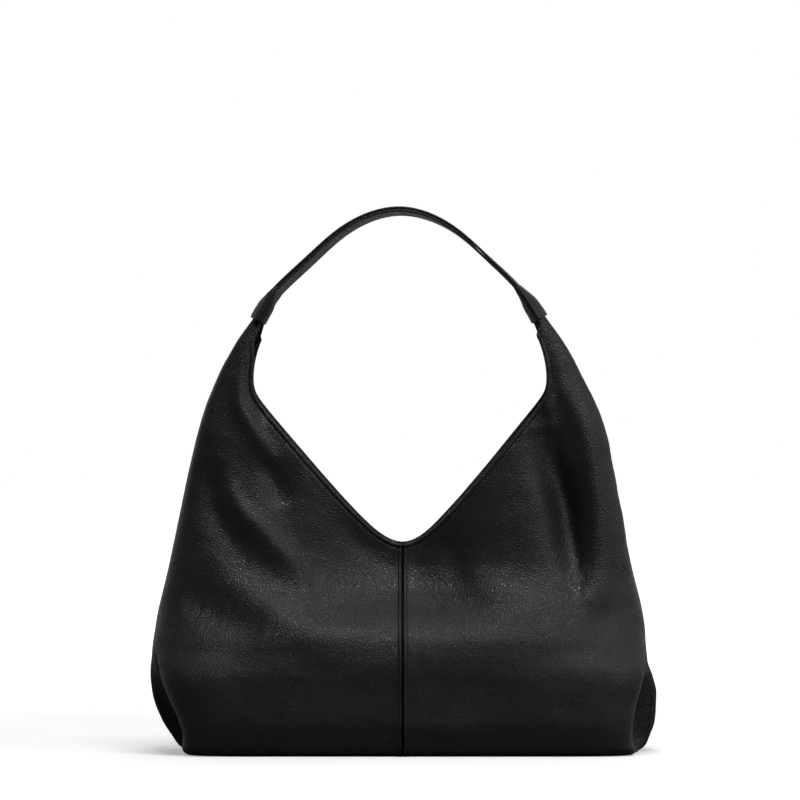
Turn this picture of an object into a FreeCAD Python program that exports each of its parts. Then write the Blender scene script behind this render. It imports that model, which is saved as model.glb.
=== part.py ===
import FreeCAD
import Part
import math
import os

# Slouchy leather hobo bag, in millimetres.
# +Z is up, +X is the bag's right as it faces the viewer, and the front faces -Y.
# The origin is on the floor, in line with the front centre seam, halfway between front and back.

# Heights of the body
NECK_HEIGHT = 166.0        # lowest point of the V-shaped neckline
NECK_SLOPE = 1.25          # rise of the straight part of the neckline, per mm sideways
NECK_ROUND = 26.0          # how softly the bottom of the V is rounded
HORN_TOP = 320.0           # where the open ends of the four panels stop
HORN_INNER = 119.0         # half distance between the two horns' inner edges

# Thicknesses, measured inwards from the outer face of the leather
LEATHER = 1.6
TAPE_FACES = (1.9, 2.3)
FACING_FACES = (2.7, 3.7)
LINING_FACES = (3.2, 3.8)

# Bands and gaps
FACING_WIDTH = 24.0
FACING_REACH = 112.0       # how far the facing runs sideways from the centre seam
LINING_TOP = 280.0         # the lining stops here inside each horn
LINING_REACH = 0.994       # the linings' edges stop this share of the way to the side seams
BASE_LINING_Z = (4.0, 4.6)
BASE_BOARD_Z = (1.8, 3.8)
BOARD_INSET = 8.0
SEAM_HALF_GAP = 0.1        # the panels' edges stand this far from the planes of the seams
TAPE_HALF_WIDTH = 6.0

# Strap and the two flexing joints under it
PIVOT_Z = 340.0
PIVOT_X = 117.0
TONGUE_RADIUS = 10.5
TONGUE_HALF = 3.5
STRAP_HALF_WIDTH = 12.0
STRAP_HALF_THICKNESS = 2.2
CORE_HALF_THICKNESS = 0.5
FORK_OUTER = 7.5
FORK_INNER = 4.0
FORK_TOP = PIVOT_Z + TONGUE_RADIUS + 1
SLEEVE_TOP = 378.0

# Magnetic snap inside the mouth
SNAP_Z = 156.0
SNAP_RADIUS = 7.5
SNAP_DEPTH = 3.85

# Inside pockets, each on a flat plane that leans with the panel behind it
POCKET_TILT = 33.0
POCKET_Y = 32.5
POCKET_Z = 99.0
POCKET_WIDTH = 180.0
POCKET_LOW = -42.0
POCKET_HIGH = 33.0
ZIP_U = 18.0               # height of the zip above the pocket plane's centre
ZIP_LENGTH = 164.0
ZIP_SLOT = (156.0, 12.0)
TOOTH_PITCH = 3.0
TOOTH_ROW_LENGTH = 144.0
SLIDER_X = 68.0            # the slider's place with the zip closed
BAIL_HEIGHT = 8.4

COLUMNS = 25               # grid of points across one quarter panel
ROWS = 21
SECTION_STEPS = 240

V = FreeCAD.Vector


def profile(points):
    """A smooth curve with no overshoot through (position, value) points, as a function."""
    xs = [p[0] for p in points]
    ys = [p[1] for p in points]
    slopes = [(ys[i + 1] - ys[i]) / (xs[i + 1] - xs[i]) for i in range(len(xs) - 1)]
    tangents = [slopes[0]]
    for before, after in zip(slopes, slopes[1:]):
        same_way = before * after > 0
        tangents.append(2 * before * after / (before + after) if same_way else 0.0)
    tangents.append(slopes[-1])

    def value(x):
        x = min(max(x, xs[0]), xs[-1])
        i = max(k for k in range(len(xs) - 1) if xs[k] <= x)
        step = xs[i + 1] - xs[i]
        t = (x - xs[i]) / step
        return (
            ys[i] * (1 + 2 * t) * (1 - t) ** 2
            + tangents[i] * step * t * (1 - t) ** 2
            + ys[i + 1] * t * t * (3 - 2 * t)
            + tangents[i + 1] * step * t * t * (t - 1)
        )

    return value


# Half width of the body by height: one outline above, and four ways down to the floor.
UPPER_SIDE = [(96, 197), (160, 182), (236, 166), (275, 156), (300, 146), (326, 133), (345, 121)]
FRONT_RIDGE = {
    -1: profile([(0, 172), (15, 173), (45, 184), (72, 195)] + UPPER_SIDE),
    1: profile([(0, 186), (15, 184), (38, 187), (68, 195)] + UPPER_SIDE),
}
REAR_RIDGE = {
    -1: profile([(0, 178), (25, 191), (55, 198.5), (75, 198)] + UPPER_SIDE),
    1: profile([(0, 191), (25, 202), (48, 204.5), (72, 198)] + UPPER_SIDE),
}

# Half depth of the body by height, away from the centre and on the centre line
SIDE_DEPTH = profile([(0, 60), (30, 69), (60, 67), (100, 56), (150, 42), (200, 31), (250, 23), (300, 16), (345, 13)])
CENTRE_DEPTH = profile([(0, 60), (30, 69), (60, 64), (95, 43), (120, 25), (138, 13), (152, 8.6), (168, 7.6), (345, 7.6)])
CENTRE_REACH = 75.0        # how far sideways the closed mouth draws the panels in

# Squareness of the level sections: 2 is an ellipse, and more is boxier
SQUARENESS = profile([(0, 5), (60, 3.8), (120, 3.0), (200, 3.4), (300, 5), (345, 5)])

# The tuck pushed into each lower side, between the front and rear ridges
TUCK_FOOT = 7.0
TUCK_TOP = 78.0
TUCK_DEPTH = 18.0
TUCK_Y = -16.0
TUCK_HALF_WIDTH = 19.0


def smooth_step(value, low, high):
    t = min(max((value - low) / (high - low), 0.0), 1.0)
    return t * t * (3 - 2 * t)


def depth_at(x, z):
    """Half depth of the body beside the point x, before the section rounds off to the side."""
    pinch = 1 - CENTRE_DEPTH(z) / SIDE_DEPTH(z)
    return SIDE_DEPTH(z) * (1 - pinch * math.exp(-((x / CENTRE_REACH) ** 2)))


def section_point(side, facing, angle, z):
    """A point on the level section at z. angle 0 is the centre line and 90 degrees the side line."""
    power = 2 / SQUARENESS(z)
    share = max(math.sin(angle), 0.0) ** power
    y = facing * depth_at(share * UPPER_SIDE[0][1], z) * max(math.cos(angle), 0.0) ** power
    blend = smooth_step(y, -36, 14)
    width = FRONT_RIDGE[side](z) * (1 - blend) + REAR_RIDGE[side](z) * blend
    x = share * width
    if TUCK_FOOT < z < TUCK_TOP:
        swell = math.sin(math.pi * (z - TUCK_FOOT) / (TUCK_TOP - TUCK_FOOT)) ** 1.5
        tuck = TUCK_DEPTH * swell * math.exp(-(((y - TUCK_Y) / TUCK_HALF_WIDTH) ** 2))
        x -= tuck * smooth_step(share, 0.78, 0.97)
    return side * x, y


def arc_section(side, facing, z):
    """The quarter section at z as points with their share of the length from the centre line."""
    points = [
        section_point(side, facing, math.pi / 2 * i / SECTION_STEPS, z)
        for i in range(SECTION_STEPS + 1)
    ]
    lengths = [0.0]
    for a, b in zip(points, points[1:]):
        lengths.append(lengths[-1] + math.hypot(b[0] - a[0], b[1] - a[1]))
    return points, [s / lengths[-1] for s in lengths]


SECTIONS = {}


def body_point(side, facing, share, z):
    """A point on the outer face at height z, at a share of the way from centre line to side line."""
    key = (side, facing, round(z, 4))
    if key not in SECTIONS:
        SECTIONS[key] = arc_section(side, facing, z)
    points, shares = SECTIONS[key]
    low, high = 0, len(shares) - 1
    while high - low > 1:
        middle = (low + high) // 2
        if shares[middle] <= share:
            low = middle
        else:
            high = middle
    t = (share - shares[low]) / (shares[high] - shares[low])
    a, b = points[low], points[high]
    x = side * max(side * (a[0] + t * (b[0] - a[0])), SEAM_HALF_GAP)
    y = facing * max(facing * (a[1] + t * (b[1] - a[1])), SEAM_HALF_GAP)
    return V(x, y, z)


def inset_point(side, facing, share, z, inset):
    """body_point moved inwards, square to the surface. The centre and side lines stay in their planes."""
    here = body_point(side, facing, share, z)
    if inset == 0:
        return here
    step = 0.02
    across = body_point(side, facing, min(share + step, 1.0), z) - body_point(side, facing, max(share - step, 0.0), z)
    along = body_point(side, facing, share, z + 2.0) - body_point(side, facing, share, max(z - 2.0, 0.0))
    normal = across.cross(along).normalize() * (side * facing)
    if share == 0:
        normal.x = 0
    if share == 1:
        normal.y = 0
    moved = here + normal * inset
    moved.z = max(moved.z, min(z, inset))
    return moved


def neck_half_width(z):
    """Half width of the gap between the neckline's two sides at height z."""
    run = (z - NECK_HEIGHT) / NECK_SLOPE + NECK_ROUND
    straight = math.sqrt(max(run * run - NECK_ROUND ** 2, 0.0))
    horn = HORN_INNER - 0.006 * (z - 298) ** 2
    return min(straight, horn)


def column_top(side, facing, share, ceiling=HORN_TOP):
    """Height at which a column meets the neckline, or the ceiling."""
    low, high = NECK_HEIGHT, ceiling
    if abs(body_point(side, facing, share, ceiling).x) >= neck_half_width(ceiling):
        return ceiling
    for _ in range(30):
        middle = (low + high) / 2
        if abs(body_point(side, facing, share, middle).x) >= neck_half_width(middle):
            low = middle
        else:
            high = middle
    return low


def grid_face(grid):
    surface = Part.BSplineSurface()
    surface.interpolate(grid)
    return surface


def thick_sheet(outer, inner):
    """A closed solid between two grids of points with matching rows and columns."""
    surfaces = [grid_face(outer), grid_face(inner)]
    bounds = [s.bounds() for s in surfaces]
    rims = []
    for s, (u0, u1, v0, v1) in zip(surfaces, bounds):
        rims.append([s.uIso(u0), s.uIso(u1), s.vIso(v0), s.vIso(v1)])
    faces = [s.toShape() for s in surfaces]
    for a, b in zip(*rims):
        faces.append(Part.makeRuledSurface(a.toShape(), b.toShape(), 1))
    shell = Part.makeShell(faces)
    shell.sewShape()
    solid = Part.makeSolid(shell)
    if solid.Volume < 0:
        solid.reverse()
    return solid


def spread(count, low=0.0, high=1.0):
    return [low + (high - low) * i / (count - 1) for i in range(count)]


def row_heights(low, high):
    """Heights of a grid's rows, closer together at both ends."""
    return [low + (high - low) * (t - 0.07 * math.sin(2 * math.pi * t)) for t in spread(ROWS)]


def column_shares():
    """Shares across a quarter panel, closer together towards the folded side."""
    return [0.55 * t + 0.45 * math.sin(math.pi / 2 * t) for t in spread(COLUMNS)]


def quarter_panel(side, facing):
    """One of the four outer leather panels, from the centre seam round to the side seam."""
    grids = []
    for inset in (0.0, LEATHER):
        grid = []
        for share in column_shares():
            top = column_top(side, facing, share)
            grid.append([inset_point(side, facing, share, z, inset) for z in row_heights(0.0, top)])
        grids.append(grid)
    return thick_sheet(*grids)


def wide_sheet(facing, faces, shares, bottom, top):
    """A sheet that runs across the centre line. bottom and top give heights from a column's own top."""
    grids = []
    signed = [(-1, s) for s in reversed(shares) if s > 0] + [(1, s) for s in shares]
    for inset in faces:
        grid = []
        for side, share in signed:
            limit = column_top(side, facing, share)
            heights = row_heights(bottom(limit), top(limit))
            grid.append([inset_point(side, facing, share, z, inset) for z in heights])
        grids.append(grid)
    return thick_sheet(*grids)


def share_of_width(facing, half_width):
    """The share at which a column that ends on the neckline stands half_width off the centre."""
    low, high = 0.0, 1.0
    for _ in range(30):
        middle = (low + high) / 2
        top = column_top(1, facing, middle)
        if body_point(1, facing, middle, top).x < half_width:
            low = middle
        else:
            high = middle
    return low


def neck_facing(facing):
    shares = spread(17, 0.0, share_of_width(facing, FACING_REACH))
    return wide_sheet(facing, FACING_FACES, shares, lambda top: top - FACING_WIDTH, lambda top: top - 1)


def lining_panel(facing):
    low = BASE_LINING_Z[1] + 0.1
    return wide_sheet(
        facing,
        LINING_FACES,
        [share * LINING_REACH for share in column_shares()],
        lambda top: low,
        lambda top: min(top - FACING_WIDTH - 1.5, LINING_TOP),
    )


def seam_tape(facing):
    shares = spread(3, 0.0, TAPE_HALF_WIDTH / 200.0)
    return wide_sheet(facing, TAPE_FACES, shares, lambda top: 6.0, lambda top: top - FACING_WIDTH - 6)


def base_plate(inset, z_range):
    """A flat plate that fits inside the body's section at its own height."""
    points = []
    for side, facing in ((-1, -1), (1, -1), (1, 1), (-1, 1)):
        shares = column_shares()
        if side * facing > 0:
            shares = shares[::-1]
        for share in shares:
            p = inset_point(side, facing, share, z_range[0], inset)
            if not points or (V(p.x, p.y, z_range[0]) - points[-1]).Length > 0.5:
                points.append(V(p.x, p.y, z_range[0]))
    if (points[0] - points[-1]).Length < 0.5:
        points.pop()
    outline = Part.BSplineCurve()
    outline.interpolate(points, PeriodicFlag=True)
    return Part.Face(Part.Wire(outline.toShape())).extrude(V(0, 0, z_range[1] - z_range[0]))


def disc(radius, y, thickness, z=SNAP_Z):
    """A disc with its axis along Y, from y to y + thickness."""
    return Part.makeCylinder(radius, thickness, V(0, y, z), V(0, 1, 0))


def magnetic_snap():
    """Socket with its magnet on the front facing, stud on the rear facing, and a washer behind each."""
    gap = 0.05
    bore = 3.1
    face = -SNAP_DEPTH
    case = disc(SNAP_RADIUS, face, SNAP_DEPTH - gap)
    pocket = disc(SNAP_RADIUS - 0.8, face + 0.6, SNAP_DEPTH - gap - 1.2)
    socket = case.cut(pocket).cut(disc(bore, face + 0.6, SNAP_DEPTH))
    magnet = disc(SNAP_RADIUS - 0.9, face + 0.7, SNAP_DEPTH - gap - 1.4).cut(disc(bore, face, SNAP_DEPTH))
    stud = disc(SNAP_RADIUS, gap, SNAP_DEPTH - gap).fuse(disc(bore - 0.3, gap - 1.8, 1.8))
    washer_hole = 1.2
    washers = {}
    for name, y in (("snap_socket_washer", -6.25), ("snap_stud_washer", 5.95)):
        washers[name] = disc(3.5, y, 0.3).cut(disc(washer_hole, y, 0.3))
    return {"snap_socket": socket, "snap_magnet": magnet, "snap_stud": stud, **washers}


def on_pocket_plane(shape, facing):
    """Moves a shape from the pocket's own frame (X across, Y out of the wall, Z up it) to the bag."""
    tilt = POCKET_TILT
    turned = shape.copy()
    if facing > 0:
        turned.rotate(V(0, 0, 0), V(1, 0, 0), tilt)
        turned.translate(V(0, POCKET_Y, POCKET_Z))
    else:
        turned.rotate(V(0, 0, 0), V(0, 0, 1), 180)
        turned.rotate(V(0, 0, 0), V(1, 0, 0), -tilt)
        turned.translate(V(0, -POCKET_Y, POCKET_Z))
    return turned


def plate(width, low, high, near, far, centre_x=0.0):
    """A plate in the pocket's frame. near and far are distances out of the wall, towards the inside."""
    return Part.makeBox(width, far - near, high - low, V(centre_x - width / 2, -far, low))


def rounded_plate(width, low, high, near, far, radius):
    box = plate(width, low, high, near, far)
    edges = [e for e in box.Edges if abs(e.tangentAt(e.FirstParameter).y) > 0.9]
    return box.makeFillet(radius, edges)


def tooth_row(direction):
    """One row of zip teeth, above or below the zip's centre line, with half a pitch between rows."""
    count = int(TOOTH_ROW_LENGTH / TOOTH_PITCH)
    first = -TOOTH_ROW_LENGTH / 2 + (TOOTH_PITCH / 2 if direction > 0 else 0)
    low = ZIP_U + 0.7 if direction > 0 else ZIP_U - 3.2
    return Part.makeCompound(
        [plate(1.7, low, low + 2.5, 2.7, 3.9, first + TOOTH_PITCH * i) for i in range(count)]
    )


def zip_pocket():
    """The hanging zip pocket on the rear lining, in its own frame, apart from slider and pull."""
    slot_width, slot_height = ZIP_SLOT
    slot = rounded_plate(slot_width, ZIP_U - slot_height / 2, ZIP_U + slot_height / 2, 0, 9, 4)
    front = rounded_plate(POCKET_WIDTH, POCKET_LOW, POCKET_HIGH, 2.9, 3.5, 9).cut(slot)
    margin = 8.0
    welt = rounded_plate(
        slot_width + 2 * margin, ZIP_U - slot_height / 2 - margin, ZIP_U + slot_height / 2 + margin, 3.6, 4.6, 7
    ).cut(slot)
    stops = [plate(1.8, ZIP_U - 3.2, ZIP_U + 3.2, 2.7, 3.9, x) for x in (-75.5, 75.5)]
    return {
        "zip_pocket_rear_ply": rounded_plate(POCKET_WIDTH, POCKET_LOW, POCKET_HIGH, 0, 0.6, 9),
        "zip_pocket_front_ply": front,
        "zip_welt": welt,
        "zip_upper_tape": plate(ZIP_LENGTH, ZIP_U + 1.0, ZIP_U + 12, 2.2, 2.7),
        "zip_lower_tape": plate(ZIP_LENGTH, ZIP_U - 12, ZIP_U - 1.0, 2.2, 2.7),
        "zip_upper_teeth": tooth_row(1),
        "zip_lower_teeth": tooth_row(-1),
        "zip_end_stops": Part.makeCompound(stops),
    }


def zip_slider():
    """Two plates that straddle the teeth, a post between the rows, and the bail that holds the pull."""
    length = 10.0
    half_height = 4.4
    low, high = ZIP_U - half_height, ZIP_U + half_height
    body = plate(length, low, high, 0.9, 1.9, SLIDER_X)
    body = body.fuse(plate(length, low, high, 4.2, 5.2, SLIDER_X))
    body = body.fuse(plate(3.0, ZIP_U - 0.45, ZIP_U + 0.45, 1.5, 4.6, SLIDER_X + 3))
    for side in (-1, 1):
        body = body.fuse(plate(1.4, ZIP_U - 1, ZIP_U + 1, 4.8, BAIL_HEIGHT + 0.9, SLIDER_X + side * 3.9))
    bar = Part.makeCylinder(0.8, 7.8, V(SLIDER_X - 3.9, -BAIL_HEIGHT, ZIP_U), V(1, 0, 0))
    return body.fuse(bar).removeSplitter()


def bail_axis():
    """The bail bar's centre in the bag's frame, about which the pull swings."""
    tilt = math.radians(POCKET_TILT)
    return V(
        SLIDER_X,
        POCKET_Y - ZIP_U * math.sin(tilt) - BAIL_HEIGHT * math.cos(tilt),
        POCKET_Z + ZIP_U * math.cos(tilt) - BAIL_HEIGHT * math.sin(tilt),
    )


def zip_pull():
    """The metal eye and blade of the pull, and the leather tab on the blade, hanging straight down."""
    axis = bail_axis()
    eye = Part.makeCylinder(2.5, 4.8, axis - V(2.4, 0, 0), V(1, 0, 0))
    blade = Part.makeBox(4.8, 1.2, 12.0, axis + V(-2.4, -0.6, -13.0))
    hole = Part.makeCylinder(1.15, 6.0, axis - V(3, 0, 0), V(1, 0, 0))
    pull = eye.fuse(blade).cut(hole).removeSplitter()
    tab = Part.makeBox(8.0, 3.0, 22.0, axis + V(-4, -1.5, -27.0))
    tab = tab.makeFillet(1.2, [e for e in tab.Edges if abs(e.tangentAt(e.FirstParameter).y) > 0.9])
    slot = Part.makeBox(5.0, 1.4, 9.0, axis + V(-2.5, -0.7, -13.1))
    return {"zip_pull": pull, "zip_pull_tab": tab.cut(slot)}


def slip_pocket():
    """The open pocket that lies flat on the front lining, with its bound top edge."""
    width = 150.0
    binding = 5.0
    return {
        "slip_pocket": rounded_plate(width, POCKET_LOW + 4, 20 - binding, 0.2, 0.9, 7),
        "slip_pocket_binding": plate(width, 20 - binding + 0.1, 20, 0, 1.4),
    }


def strap_line():
    """The strap's centre line, from the top of the left fork over to the top of the right fork."""
    left = [(PIVOT_X, FORK_TOP), (106.5, 363), (91, 377), (70.5, 396), (48.5, 415.5), (26, 428.5)]
    points = [V(-x, 0, z) for x, z in left] + [V(0, 0, 434)] + [V(x, 0, z) for x, z in reversed(left)]
    line = Part.BSplineCurve()
    line.interpolate(points, InitialTangent=V(0, 0, 1), FinalTangent=V(0, 0, -1))
    return line


def strap_edge(offset, strap_offset, foot):
    """Edges beside the strap's line: offset at the forks, easing to strap_offset along the strap."""
    line = strap_line()
    points = []
    for t in spread(61, line.FirstParameter, line.LastParameter):
        here = line.value(t)
        if here.z < foot:
            continue
        along = V(*line.tangent(t)[0])
        ease = smooth_step(here.z, FORK_TOP, SLEEVE_TOP)
        reach = offset * (1 - ease) + strap_offset * ease
        points.append(here + V(-along.z, 0, along.x) * reach)
    curve = Part.BSplineCurve()
    curve.interpolate(points)
    edges = [curve.toShape()]
    if foot < FORK_TOP:
        first, last = points[0], points[-1]
        edges.insert(0, Part.makeLine(V(first.x, 0, foot), first))
        edges.append(Part.makeLine(last, V(last.x, 0, foot)))
    return edges


def strap_band(outside, inside, foot):
    """A band along the strap between two offsets, each given at the forks and along the strap."""
    a = strap_edge(*outside, foot)
    b = strap_edge(*inside, foot)
    starts = [edges[0].valueAt(edges[0].FirstParameter) for edges in (a, b)]
    ends = [edges[-1].valueAt(edges[-1].LastParameter) for edges in (a, b)]
    rims = [Part.makeLine(*starts), Part.makeLine(*ends)]
    wire = Part.Wire(Part.__sortEdges__(a + b + rims))
    face = Part.Face(wire)
    face.translate(V(0, -STRAP_HALF_WIDTH, 0))
    return face.extrude(V(0, 2 * STRAP_HALF_WIDTH, 0))


def rounded_foot(band):
    """Rounds the ends of a strap ply about the pivot axis, so that they clear the horns as they turn."""
    reach = 200.0
    above = Part.makeBox(2 * reach, 2 * reach, reach, V(-reach, -reach, PIVOT_Z))
    round_end = Part.makeCylinder(STRAP_HALF_WIDTH, 2 * reach, V(-reach, 0, PIVOT_Z), V(1, 0, 0))
    return band.common(above.fuse(round_end))


def strap():
    t = STRAP_HALF_THICKNESS
    c = CORE_HALF_THICKNESS + 0.2
    return {
        "strap_outer_ply": rounded_foot(strap_band((FORK_OUTER, t), (FORK_INNER, c), 327)),
        "strap_inner_ply": rounded_foot(strap_band((-FORK_OUTER, -t), (-FORK_INNER, -c), 327)),
        "strap_core": strap_band((CORE_HALF_THICKNESS,) * 2, (-CORE_HALF_THICKNESS,) * 2, FORK_TOP + 1.5),
    }


def horn_tongue(side):
    """The gathered end of a horn that the strap's two plies hold, rounded about the pivot axis."""
    half = TONGUE_HALF
    top = PIVOT_Z + TONGUE_RADIUS
    centre = [(130.0, 296.0), (PIVOT_X, 320.0), (PIVOT_X, top)]
    corners = [V(side * (x - half), -TONGUE_RADIUS, z) for x, z in centre]
    corners += [V(side * (x + half), -TONGUE_RADIUS, z) for x, z in reversed(centre)]
    face = Part.Face(Part.makePolygon(corners + corners[:1]))
    slab = face.extrude(V(0, 2 * TONGUE_RADIUS, 0))
    below = Part.makeBox(400, 100, 100, V(-200, -50, PIVOT_Z - 100))
    round_top = Part.makeCylinder(TONGUE_RADIUS, 400, V(-200, 0, PIVOT_Z), V(1, 0, 0))
    return slab.common(below.fuse(round_top))


def all_nodes():
    names = {(-1, -1): "front_left_panel", (1, -1): "front_right_panel",
             (-1, 1): "back_left_panel", (1, 1): "back_right_panel"}
    nodes = {name: quarter_panel(*where) for where, name in names.items()}
    for word, facing in (("front", -1), ("back", 1)):
        nodes[f"{word}_neck_facing"] = neck_facing(facing)
        nodes[f"{word}_lining"] = lining_panel(facing)
        nodes[f"{word}_seam_tape"] = seam_tape(facing)
    nodes["base_panel"] = base_plate(LEATHER + 0.5, (0.0, LEATHER))
    nodes["base_board"] = base_plate(BOARD_INSET, BASE_BOARD_Z)
    nodes["base_lining"] = base_plate(LINING_FACES[1] + 0.6, BASE_LINING_Z)
    nodes.update(magnetic_snap())
    nodes.update({name: on_pocket_plane(s, 1) for name, s in zip_pocket().items()})
    nodes.update({name: on_pocket_plane(s, -1) for name, s in slip_pocket().items()})
    nodes["zip_slider"] = on_pocket_plane(zip_slider(), 1)
    nodes.update(zip_pull())
    nodes.update(strap())
    nodes["left_horn_tongue"] = horn_tongue(-1)
    nodes["right_horn_tongue"] = horn_tongue(1)
    return nodes


os.makedirs("parts", exist_ok=True)
for node, shape in all_nodes().items():
    print(node, "valid" if shape.isValid() else "INVALID", round(shape.Volume, 1), "mm3")
    shape.exportStep(f"parts/{node}.step")
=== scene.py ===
"""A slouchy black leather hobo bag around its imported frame.

Lengths are millimetres until a mesh is made, in the frame's axes: +Z up, the front faces -Y.
"""
import math

import bmesh
import bpy
import numpy as np
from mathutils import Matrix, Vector, noise


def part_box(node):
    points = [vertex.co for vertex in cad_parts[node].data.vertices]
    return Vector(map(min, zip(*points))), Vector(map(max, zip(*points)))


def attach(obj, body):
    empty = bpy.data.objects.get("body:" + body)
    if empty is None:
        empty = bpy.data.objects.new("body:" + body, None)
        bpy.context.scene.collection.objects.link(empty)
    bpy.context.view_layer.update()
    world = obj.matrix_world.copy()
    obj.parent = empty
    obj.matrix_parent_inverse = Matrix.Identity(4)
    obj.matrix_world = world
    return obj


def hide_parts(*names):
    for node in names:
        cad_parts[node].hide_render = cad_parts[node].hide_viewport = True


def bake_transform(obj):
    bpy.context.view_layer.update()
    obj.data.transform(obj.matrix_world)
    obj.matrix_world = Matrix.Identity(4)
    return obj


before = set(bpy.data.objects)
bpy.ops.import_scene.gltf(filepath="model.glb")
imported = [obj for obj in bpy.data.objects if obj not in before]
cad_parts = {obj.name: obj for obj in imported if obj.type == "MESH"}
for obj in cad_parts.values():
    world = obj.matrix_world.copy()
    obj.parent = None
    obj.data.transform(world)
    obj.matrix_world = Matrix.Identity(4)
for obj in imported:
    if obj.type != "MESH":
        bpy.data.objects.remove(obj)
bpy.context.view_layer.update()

MM = 0.001

# ---------------------------------------------------------------- driving sizes
NECK_HEIGHT = 166.0
NECK_SLOPE = 1.25
NECK_ROUND = 26.0
HORN_INNER = 119.0
HORN_TOP = 353.0           # the horns end inside the strap's sleeves
GATHER_Z = 318.0           # the height from which a horn is gathered into its sleeve
# How far the rear neckline stands above the front one at the middle, and how much more at the sides.
NECK_LIFT_MIDDLE = 1.7
NECK_LIFT = {-1: 0.9, 1: 1.9}
SEAM_SHIFT = 2.0           # the front seam and the V stand a little right of the middle

LEATHER = 2.0
FACING_FACES = (2.7, 3.7)
LINING_FACES = (3.9, 4.5)
FACING_WIDTH = 24.0
LINING_TOP = 292.0
LINING_GAP = 0.15          # between the front and the back lining at the side line, each way
BASE_ROUND = 8.0           # radius with which the panels turn under to the base

BODY_WIDTH = 197.0
ZIP_POCKET_CUT = (0.180, 0.075)
ZIP_SLOT_CUT = (0.156, 0.012)    # cut out of the zip pocket's front
SLIP_POCKET_CUT = (0.150, 0.053)
SECTION_STEPS = 150


def curve(points):
    """A smooth curve with no overshoot through (position, value) points, as a function of arrays."""
    xs, ys = np.array(points, float).T
    steps = np.diff(xs)
    slopes = np.diff(ys) / steps
    before, after = slopes[:-1], slopes[1:]
    total = np.where(before + after == 0, 1, before + after)
    inner = np.where(before * after > 0, 2 * before * after / total, 0)
    tangents = np.concatenate([slopes[:1], inner, slopes[-1:]])

    def value(x):
        x = np.clip(x, xs[0], xs[-1])
        i = np.clip(np.searchsorted(xs, x, side="right") - 1, 0, len(xs) - 2)
        t = (x - xs[i]) / steps[i]
        return (
            ys[i] * (1 + 2 * t) * (1 - t) ** 2
            + tangents[i] * steps[i] * t * (1 - t) ** 2
            + ys[i + 1] * t * t * (3 - 2 * t)
            + tangents[i + 1] * steps[i] * t * t * (t - 1)
        )

    return value


def ease(value, low, high):
    t = np.clip((value - low) / (high - low), 0, 1)
    return t * t * (3 - 2 * t)


def unit(vectors):
    return vectors / np.maximum(np.linalg.norm(vectors, axis=-1, keepdims=True), 1e-9)


# ---------------------------------------------------------------- the body's shape
UPPER_SIDE = [(108, 194.5), (140, 187), (179, 178.5), (217, 170.5), (249, 163), (275, 156), (300, 146),
              (326, 133), (345, 120), (360, 109)]
FRONT_RIDGE = {
    -1: curve([(0, 175), (15, 173), (28, 176), (44, 183), (62, 191), (83, 197.5)] + UPPER_SIDE),
    1: curve([(0, 191), (14, 185), (38, 188), (55, 193), (72, 197)] + UPPER_SIDE),
}
REAR_RIDGE = {
    -1: curve([(0, 174), (10, 181), (25, 191), (45, 198.5), (62, 200), (80, 198)] + UPPER_SIDE),
    1: curve([(0, 195), (12, 200), (25, 204.5), (47, 206), (60, 203), (74, 198)] + UPPER_SIDE),
}
SIDE_DEPTH = curve([(0, 62), (28, 68), (60, 68), (88, 63), (110, 54), (150, 41), (200, 31), (250, 23),
                    (300, 16), (345, 12.5)])
CENTRE_DEPTH = curve([(0, 62), (28, 68), (60, 67), (88, 58), (106, 43), (124, 26), (140, 13.5), (153, 8.8),
                      (168, 7.6), (345, 7.6)])
CENTRE_REACH = 75.0
SQUARENESS = {
    -1: curve([(0, 9), (50, 8), (85, 4), (120, 3), (200, 3.4), (300, 5), (345, 4)]),
    1: curve([(0, 5), (60, 4), (120, 3), (200, 3.4), (300, 5), (345, 4)]),
}
TUCK_FOOT = 1.0
TUCK_TOP = {-1: 82.0, 1: 76.0}
TUCK_DEPTH = 44.0
TUCK_Y = -20.0
TUCK_HALF_WIDTH = 11.0
# The front's tuck: how far its bottom goes back and the ear's rim comes forward, and over what depth.
TUCK_BACK, TUCK_BACK_REACH = 15.0, 8.5
EAR_FORWARD, EAR_REACH = 13.0, 4.5
EAR_Y = -8.5


def depth_at(x, z):
    pinch = 1 - CENTRE_DEPTH(z) / SIDE_DEPTH(z)
    return SIDE_DEPTH(z) * (1 - pinch * np.exp(-((x / CENTRE_REACH) ** 2)))


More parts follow.
